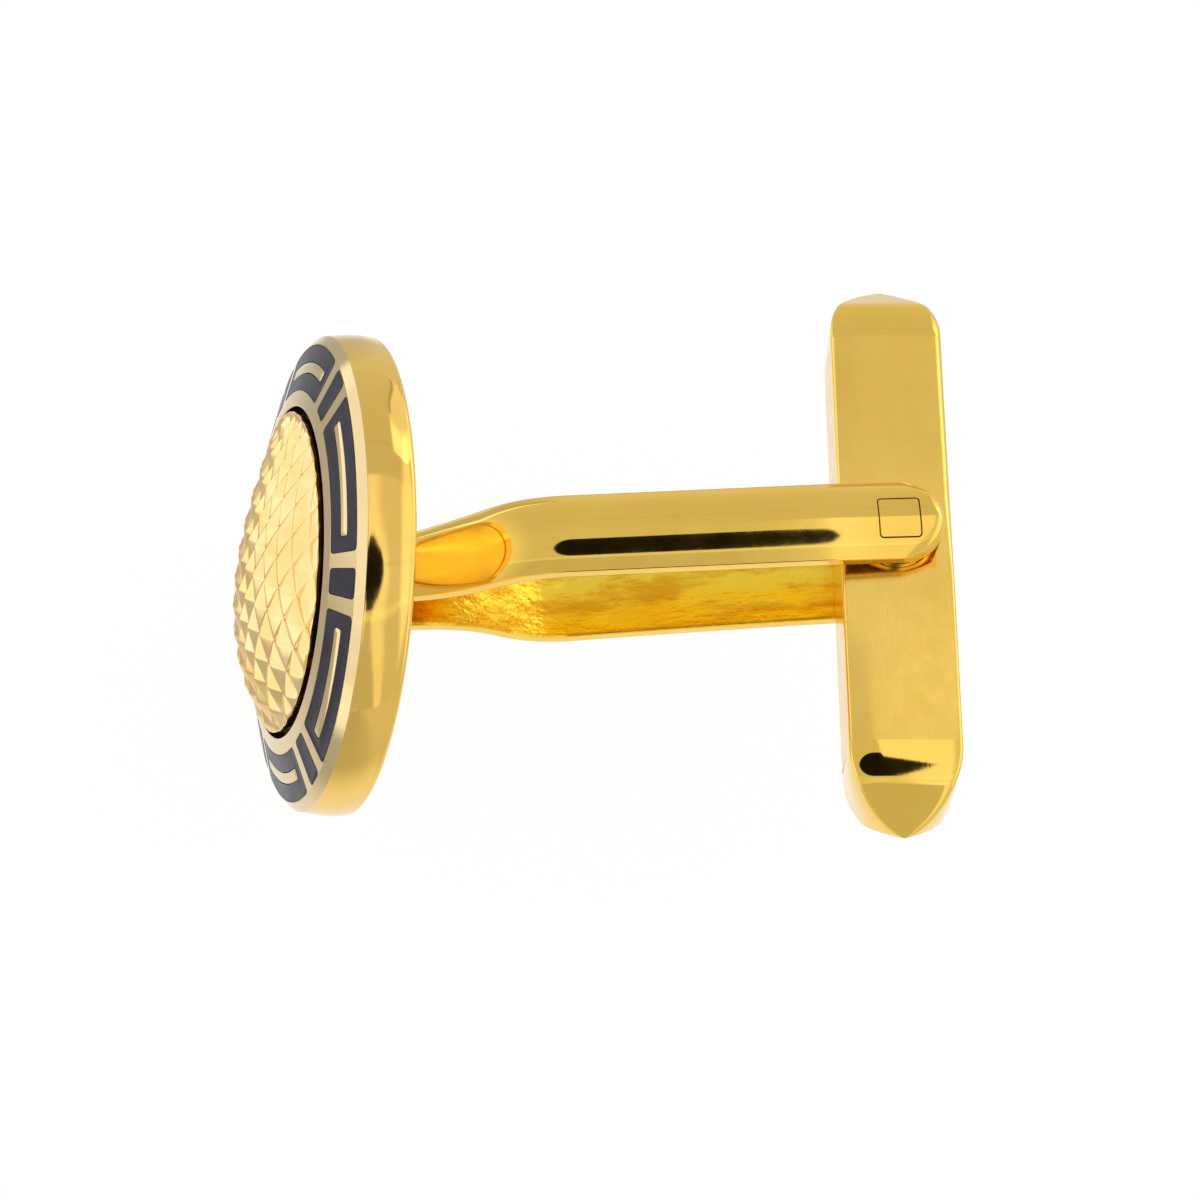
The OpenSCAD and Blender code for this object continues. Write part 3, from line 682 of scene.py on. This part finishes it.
# The inner sides keep the skin of the casting, roughest where the arm bends out.
cast, shader, at = finish_of("cast_gold", Metallic=1.0)
along_x = at.node("SeparateXYZ", Vector=at)
rough_part = along_x.smooth(0.0025, 0.0035) * (1 - along_x.smooth(0.0052, 0.0066))
drawn = at.node("Mapping", Vector=at, Scale=(700, 2600, 2600))
lump = at.node("TexNoise", Vector=drawn, Scale=1.0, Detail=3.0, Roughness=0.55)
grit = at.node("TexNoise", Vector=at, Scale=3600.0, Detail=3.0, Roughness=0.6)
blotch = at.node("TexNoise", Vector=drawn, Scale=0.5, Detail=5.0, Roughness=0.65).smooth(0.42, 0.62)
feed(shader, Base_Color=blotch.blend((1.0, 0.72, 0.060), (0.84, 0.46, 0.020)))
feed(shader, Roughness=rough_part * 0.1 + blotch * 0.1 + 0.20)
skin_height = lump * 0.7 + grit * 0.35 + grit * rough_part * 1.6
feed(shader, Normal=at.node("Bump", Height=skin_height, Strength=0.6, Distance=0.00006))

for name, side, node in (("arm_near", 1, "arm_upper"), ("arm_far", -1, "arm_lower")):
    arm = piece(name, [(arm_surface(side), False, True)], arm_gold, "head",
                [node], crease=50)
    arm.data.materials.append(cast)
    normals = np.zeros(len(arm.data.polygons) * 3)
    arm.data.polygons.foreach_get("normal", normals)
    faces_in = normals[2::3] * side < -0.6
    arm.data.polygons.foreach_set("material_index", faces_in.astype(np.int32))

# ---------------------------------------------------------------- pivot
# A hard gold pin with square ends, riveted flush through both arms, and two thin washers
# that keep the toggle clear of them. A dark hairline shows round each square end.

refinish(("pivot_pin", "washer_upper", "washer_lower"), arm_gold)

pivot_x, pin_s, pin_corner = 17.85, 1.38, 0.12
hairline, hairline_top, hairline_foot = 0.045, 0.006, -0.02


def pin_joint(side):
    """The hairline round the pin's square end: a square with round corners, its two edges half
    a hairline in and out, laid on the arm's crown, z = run + crown_r's arc at y, where y is
    scaled as the arm's section is."""
    a = np.concatenate([np.linspace(0, np.pi / 2, 7) + k * np.pi / 2 for k in range(4)])
    corners = np.array([[1, 1], [-1, 1], [-1, -1], [1, -1]]) * (pin_s / 2 - pin_corner)
    core = np.repeat(corners, 7, 0)
    ray = np.stack([np.cos(a), np.sin(a)], 1)
    part = np.linspace(0, 1, 7)[:-1, None]
    half_hair = hairline / 2
    rings = [(half_hair, hairline_foot), (half_hair, hairline_top),
             (-half_hair, hairline_top), (-half_hair, hairline_foot)]
    sheet = []
    for out, lift in rings:
        loop = core + ray * (pin_corner + out)
        loop = loop[:, None] * (1 - part) + np.roll(loop, -1, 0)[:, None] * part
        x, y = pivot_x + loop[..., 0].ravel(), loop[..., 1].ravel()
        across = y * arm_w / 2 / np.where(y > 0, edge_last[side], edge_other)
        z = run_at(side, x)[0] + crown_at(across) + lift
        sheet.append(np.stack([x, y * side, z * side], 1))
    return np.stack(sheet) * mm


for name, side in (("pin_joint_near", 1), ("pin_joint_far", -1)):
    piece(name, [(pin_joint(side), True, True)], shade_and_joint_dark, "head", [], crease=180)

# ---------------------------------------------------------------- toggle tube
# The bar's body is a hollow square tube of gold, drawn and then satined lengthwise on its
# broad faces. The pin's journals turn in two holes through it.

rest_a = np.radians(-2.5)
toggle_w, toggle_d, tube_half, toggle_half = 3.74, 3.05, 7.38, 10.05
tube_wall, hole_r, hole_ease, patch = 0.5, 1.03, 0.03, 1.3
tube_edge, tube_left_edge, tube_edge_low, tube_edge_top = 0.1, 0.12, 0.14, 0.27
pillow_x, pillow_lean, pillow_left_r, pillow_right_r = -0.95, 0.0095, 5.0, 125.0
pillow_start, pillow_cut = 2.0, 0.03


def on_pivot(p):
    """Puts points (x, y, z) of the toggle at the pivot: the rest angle's turn about Z, the shift
    to the pin, and millimetres to metres."""
    x, y, z = p[..., 0], p[..., 1], p[..., 2]
    c, s = np.cos(rest_a), np.sin(rest_a)
    return np.stack([pivot_x + x * c - y * s, x * s + y * c, z], -1) * mm


def pillow(x, y):
    """How far buffing has taken the near face down at (x, y). Across, it is a slope plus an arc,
    lean * u + u^2 / 2R with u = x - x0, and R is smaller to the left of x0. Along, it grows by a
    smooth step from nothing near the pivot to the whole at the tube's ends."""
    u = x - pillow_x
    grow = np.clip((np.abs(y) - pillow_start) / (tube_half - pillow_start), 0, 1)
    drop = pillow_lean * u + u**2 / (2 * np.where(u < 0, pillow_left_r, pillow_right_r))
    return (drop + pillow_cut) * grow**2 * (3 - 2 * grow)


def tube_sheets(n_span=17, n_side=19, n_length=30):
    """The outer skin is a soft-cornered rectangle carried along y, and the inner skin is that
    one clipped to the hollow, so both have the same points: n_span on each broad face and n_side
    on each narrow one. Round each hole a patch runs from the circle r (cos a, sin a) out to the
    square r (cos a, sin a) / max(|cos a|, |sin a|). The lower end's near edge on the right is
    sharper than the upper end's."""
    hw, hd = toggle_w / 2, toggle_d / 2
    iw, ih = hw - tube_wall, hd - tube_wall
    span = patch * np.tan(np.linspace(-1, 1, n_span) * np.pi / 4)
    near = np.stack([span, np.full(n_span, hd)], 1)
    far = np.stack([span[::-1], np.full(n_span, -hd)], 1)
    whole = np.arange(2 * (n_span + n_side))
    right = whole[n_span - 1:n_span + n_side + 1]
    left = np.append(whole[2 * n_span + n_side - 1:], 0)

    def skin(edge_r):
        soft = softened([(hw, hd), (hw, -hd), (-hw, -hd), (-hw, hd)],
                        [edge_r, tube_edge, tube_edge, tube_left_edge], steps=6)
        return np.concatenate([near, soft[0], [[hw, 0]], soft[1],
                               far, soft[2], [[-hw, 0]], soft[3]])

    loops = np.stack([skin(tube_edge_low), skin(tube_edge_top)])
    loops = {"outer": loops, "inner": np.clip(loops, [-iw, -ih], [iw, ih])}

    def carried(skin_name, part, stations):
        s = np.clip(stations / (2 * patch) + 0.5, 0, 1)[:, None, None]
        section = (loops[skin_name][0] * (1 - s) + loops[skin_name][1] * s)[:, part]
        x, z = section[..., 0], section[..., 1]
        y = np.tile(stations[:, None], (1, x.shape[1]))
        z = z - pillow(x, y) * np.clip((z - ih - 0.05) / 0.3, 0, 1)
        return np.stack([x, y, z], -1)

    sheets = []
    for end in (-1, 1):
        stations = end * np.linspace(patch, tube_half, n_length)
        mouth = []
        for skin_name in loops:
            sheets.append((carried(skin_name, whole, stations), False, True))
            mouth.append(carried(skin_name, whole, stations[-1:])[0])
        sheets.append((np.stack(mouth), False, True))
    for part in (right, left):
        for skin_name in loops:
            sheets.append((carried(skin_name, part, span), False, False))
    eighths = np.linspace(-1, 1, n_span)[None, :-1] * np.pi / 4
    a = (np.arange(4)[:, None] * np.pi / 2 + eighths).ravel()
    circle = np.stack([np.cos(a), np.sin(a)], 1)
    square = patch * circle / np.abs(circle).max(1, keepdims=True)
    rings = [(square, hd), (hole_r * 1.04 * circle, hd), (hole_r * circle, hd - hole_ease),
             (hole_r * circle, ih), (square, ih)]
    for s in (1, -1):
        hole = [np.concatenate([xy, np.full((len(a), 1), s * z)], 1) for xy, z in rings]
        sheets.append((np.stack(hole), False, True))
    return [(on_pivot(p), wrap_rows, wrap_cols) for p, wrap_rows, wrap_cols in sheets]


satin = gold("satin_gold", (0.96, 0.64, 0.142), (0.92, 0.60, 0.118), 0.12, 0.06,
             grain=0.30, grain_size=(9000, 1500, 9000), dents=0.15)
piece("toggle_body", tube_sheets(), satin, "toggle", ["toggle_tube"], crease=40)

# ---------------------------------------------------------------- toggle caps
# A solid cap is soldered into each end of the tube. Its front falls away in an arc, then a
# wedge meets it in a soft crease, and the outline closes to a pointed arch.

fall_r, wedge_l, back_wedge_l, tip_drop, arch_r = 2.3, 1.22, 0.85, 0.54, 2.62
crease_soft, near_edge_r = {1: 0.7, -1: 0.12}, {1: tube_edge_top, -1: tube_edge_low}


def cap_surface(end, n_length=61, n_across=15, n_corner=6):
    """Sections across y, from the seam to the tip. The half width follows the arch, sqrt(R^2 -
    (y - y0)^2) less its offset; the front follows an arc and then the wedge, with a smooth step
    from one to the other, the back the higher of a flat and its own wedge, and the front is
    crowned across as the tube's near face is. Every edge is rounded by a quarter circle, which
    shrinks towards the tip. The upper cap's crease is softer than the lower one's."""
    hw, hd = toggle_w / 2, toggle_d / 2
    off = arch_r - hw
    arch_y = toggle_half - np.sqrt(arch_r**2 - off**2)
    y = toggle_half - (toggle_half - tube_half) * np.linspace(1, 0, n_length) ** 1.3
    w = np.where(y < arch_y, hw, np.sqrt(np.maximum(arch_r**2 - (y - arch_y) ** 2, 0)) - off)
    w = np.maximum(w, 0)
    crease_y = toggle_half - wedge_l
    arc = hd - fall_r + np.sqrt(np.maximum(fall_r**2 - (y - tube_half) ** 2, 0))
    crease_z = hd - fall_r + np.sqrt(fall_r**2 - (crease_y - tube_half) ** 2)
    wedge = -tip_drop + (toggle_half - y) * (crease_z + tip_drop) / wedge_l
    blend = np.clip((y - crease_y) / crease_soft[end] + 0.5, 0, 1)
    blend = blend**2 * (3 - 2 * blend)
    back = np.maximum(-hd, -tip_drop - (toggle_half - y) * (hd - tip_drop) / back_wedge_l)
    front = np.maximum(arc * (1 - blend) + wedge * blend, back)
    room = 0.3 * np.minimum(w, front - back)
    soft, near_soft = np.minimum(tube_edge, room), np.minimum(near_edge_r[end], room)
    across = np.linspace(0, 1, n_across)[None, :]
    x = (soft - w)[:, None] + across * (2 * w - soft - near_soft)[:, None]
    fade = np.clip((crease_y + 0.3 - y) / 0.5, 0, 1)[:, None]
    crown = pillow(x, y[:, None]) * fade
    top = np.stack([x, front[:, None] - crown], -1)
    left_z, right_z = front - crown[:, 0], front - crown[:, -1]
    t = np.linspace(0, np.pi / 2, n_corner)[None]
    before, after = t[:, :-1], t[:, 1:]

    def corner(cx, cz, r, a):
        cx, cz, r = cx[:, None], cz[:, None], r[:, None]
        return np.stack([cx + r * np.cos(a), cz + r * np.sin(a)], -1)

    right_top = corner(w - near_soft, right_z - near_soft, near_soft, np.pi / 2 - after)
    right_low = corner(w - soft, back + soft, soft, -before)
    left_low = corner(soft - w, back + soft, soft, -np.pi / 2 - before)
    left_top = corner(soft - w, left_z - soft, soft, np.pi - before)
    section = np.concatenate([top, right_top, right_low, left_low, left_top], 1)
    along_y = np.tile(end * y[:, None], (1, section.shape[1]))
    p = np.stack([section[..., 0], along_y, section[..., 1]], -1)
    seam = p[:1].mean(1, keepdims=True).repeat(p.shape[1], 1)
    return on_pivot(np.concatenate([seam, p]))


buffed = gold("buffed_gold", (0.95, 0.635, 0.125), (0.93, 0.605, 0.108), 0.02, 0.015,
              grain=0.03, grain_size=(9000, 1500, 9000), dents=0.05)
for name, end, node in (("cap_left", 1, "toggle_cap_left"), ("cap_right", -1, "toggle_cap_right")):
    piece(name, [(cap_surface(end), False, True)], buffed, "toggle",
          [node], crease=50)

# ---------------------------------------------------------------- leaf springs
# Two strips of spring steel lie inside the tube, with their ends in slots of the caps. They
# press on the pin's square middle and hold the toggle at each quarter turn.

steel, shader, at = finish_of("spring_steel", Metallic=1.0)
temper = at.node("TexNoise", Vector=at, Scale=900.0)
feed(shader, Base_Color=temper.blend((0.5, 0.5, 0.52), (0.62, 0.62, 0.64)))
feed(shader, Roughness=at.node("TexNoise", Vector=at, Scale=5000.0) * 0.2 + 0.2)
refinish(("leaf_spring_inner", "leaf_spring_outer"), steel)

# ---------------------------------------------------------------- floor
# A sheet of white paper just under the rim keeps the shadow. The camera sees it as white, and the
# gold sees it as a
# white glow with painted light and shade: dimmer beyond 15 to 25 mm from under the arms, and
# brighter far to the left.

floor_z, floor_half = -8.2 * mm, 2.0
floor_corners = np.array([[-1, -1], [1, -1], [1, 1], [-1, 1]]) * floor_half
floor_mesh = bpy.data.meshes.new("floor")
floor_mesh.from_pydata(np.append(floor_corners, np.full((4, 1), floor_z), 1), [], [(0, 1, 2, 3)])
floor = bpy.data.objects.new("floor", floor_mesh)
bpy.context.scene.collection.objects.link(floor)

paper, shader, at = finish_of("floor", Roughness=1.0, Specular_IOR_Level=0.0)
shader.inputs["Base Color"].default_value = (1.0, 1.0, 1.0, 1)
rays = at.node("LightPath").out.node.outputs
kinds = ("Is Camera Ray", "Is Glossy Ray", "Is Transmission Ray")
camera_ray, glossy_ray, clear_ray = (Socket(at.tree, rays[kind]) for kind in kinds)
from_arms = at.node("VectorMath", {"operation": "DISTANCE"}, out=1, i0=at, i1=(0.008, 0.0, floor_z))
to_left = at.node("SeparateXYZ", Vector=at) * -1
# Painted shade and painted light in the gold's reflections of the floor. It is dimmer away from the
# point under the arms, most to the left, and brighter past 25 to 42 mm to the left.
painted_shade = from_arms.smooth(0.015, 0.025) * (to_left.smooth(-0.01, 0.005) * 0.23 + 0.22)
painted_light_and_shade = to_left.smooth(0.025, 0.042) * 0.9 - painted_shade
white = camera_ray * 0.02 + 1 + glossy_ray * painted_light_and_shade
glow = at.node("Emission", Color=(1, 1, 1, 1), Strength=white)
shown = (camera_ray + glossy_ray + clear_ray) * 0.92
both = at.node("MixShader", i0=shown, i1=Socket(at.tree, shader.outputs[0]), i2=glow)
at.tree.links.new(both.out, at.tree.nodes["Material Output"].inputs[0])
floor_mesh.materials.append(paper)

# ---------------------------------------------------------------- light tent
# The sky is a tent of white cloth, lit from outside: even, brighter at both sides, with a
# seam overhead, a lamp close to the rim and a dark oval behind the camera. The gold mirrors
# it, so its edges lie where the reflections in the photograph end.

world = bpy.data.worlds.new("tent")
bpy.context.scene.world = world
world.use_nodes = True
sky = world.node_tree
toward = Socket(sky, None).node("TexCoord", out=0)
apart = toward.node("SeparateXYZ", Vector=toward).out.node.outputs
dx, dy, dz = (Socket(sky, apart[k]) for k in range(3))
over = dy.math("ARCTAN2", dy, dz) * (180 / np.pi)  # degrees from +Z, over towards +Y

low_light, low_strip, low_right, low_front = 0.72, 0.42, 0.31, 0.16
low_part = dx.smooth(0.094, 0.112) * low_strip - dx.smooth(0.16, 0.26) * low_right + low_light
low_part = low_part + (1 - over.smooth(-42.0, -38.0)) * low_front
top_light, back_light, front_dark = 0.70, 0.06, 0.24
top_part = over.smooth(23.9, 25.2)
level = low_part * (1 - top_part) + top_part * top_light
level = level + back_light * over.smooth(60.0, 100.0)

seam_dark, left_light, right_light = 0.07, 0.52, 0.45
seam = over.smooth(40.5, 42.0) * (1 - over.smooth(42.0, 43.5))
level = level - seam_dark * seam
level = level - front_dark * (1 - over.smooth(-46.0, -42.0))
level = level + (dx * -1).smooth(0.3, 0.75) * left_light + dx.smooth(0.50, 0.62) * right_light

# The lamp lies past a slanting line. It has a wavy edge with a dark rope along it, and a dark
# flap beyond.
off_line = dx + over * 0.00385 - 0.574
edge = over.math("SINE", (over - 76) * (1 / 7)) * 0.06 + 0.07
edge = edge - (1 - over.smooth(54.0, 64.0)) * 0.5 + (1 - over.smooth(37.0, 41.0)) * 1.5
edge = edge - over.smooth(98.0, 106.0) * 0.12
past_line, past_edge = off_line.smooth(-0.07, -0.02), off_line - edge
lamp = (1 - over.smooth(52.0, 60.0)) * 0.55 + over.smooth(98.0, 106.0) * 0.2 + 0.27
level = level + past_edge.smooth(-0.01, 0.02) * past_line * lamp
rope_dark, flap_dark = 0.3, 0.35
rope = past_edge.smooth(-0.05, -0.02) * (1 - past_edge.smooth(-0.02, 0.01))
rope = rope * over.smooth(54.0, 62.0) * (1 - over.smooth(104.0, 112.0)) * past_line
level = level - rope * rope_dark
level = level - over.smooth(112.0, 125.0) * (1 - dx.smooth(0.13, 0.2)) * flap_dark

# The dark oval is 19.5 degrees to each side of over = -19, round on the left and blunt on the
# right: its half height is sqrt(1 - l^2) (1 - r)^0.8 of that, l and r growing towards its ends.
oval_left = ((dx * -1 + 0.06) * (1 / 0.19)).at_least(0.0)
oval_right = ((dx - 0.098) * (1 / 0.039)).at_least(0.0)
oval = (1 - oval_left * oval_left).at_least(0.0) ** 0.5 * (1 - oval_right).at_least(0.0) ** 0.8
from_middle = over.math("ABSOLUTE", over + 19.0)
dark_oval = (oval * 19.5 - from_middle).smooth(-0.5, 0.8)
level = level * (1 - dark_oval * 0.985)

seen = Socket(sky, sky.nodes.new("ShaderNodeLightPath").outputs["Is Camera Ray"])
level = level * (1 - seen) + seen
sky.nodes["Background"].inputs[0].default_value = (1, 1, 1, 1)
sky.links.new(level.out, sky.nodes["Background"].inputs[1])

# ---------------------------------------------------------------- camera
# The camera stands over the cufflink, leant 24 degrees towards the foot of the picture, and
# so far off that a millimetre at the middle is 30.1 pixels of the picture's 1200.

px_per_mm, focal_px, frame_px, sensor = 30.1, 5000, 1200, 36.0
looks_at = np.array([7.97, -1.25, 0.0])
turn, tilt, roll = np.radians(3.67), np.radians(24.0), np.radians(-4.08)
forward = np.array([np.sin(turn) * np.cos(tilt), np.sin(tilt), -np.cos(turn) * np.cos(tilt)])
level_right = np.array([np.cos(turn), 0, np.sin(turn)])
level_up = np.array([-np.sin(turn) * np.sin(tilt), np.cos(tilt), np.cos(turn) * np.sin(tilt)])
right_v = level_right * np.cos(roll) + level_up * np.sin(roll)
up_v = -level_right * np.sin(roll) + level_up * np.cos(roll)
stands_at = (looks_at - forward * focal_px / px_per_mm) * mm

cam_data = bpy.data.cameras.new("camera")
cam_data.sensor_width, cam_data.lens = sensor, sensor * focal_px / frame_px
cam_data.clip_start, cam_data.clip_end = 0.01, 10.0
cam = bpy.data.objects.new("camera", cam_data)
bpy.context.scene.collection.objects.link(cam)
axes = np.stack([right_v, up_v, -forward, stands_at], 1)
cam.matrix_world = Matrix([*axes.tolist(), [0, 0, 0, 1]])
bpy.context.scene.camera = cam
bpy.context.scene.view_settings.view_transform = "Standard"
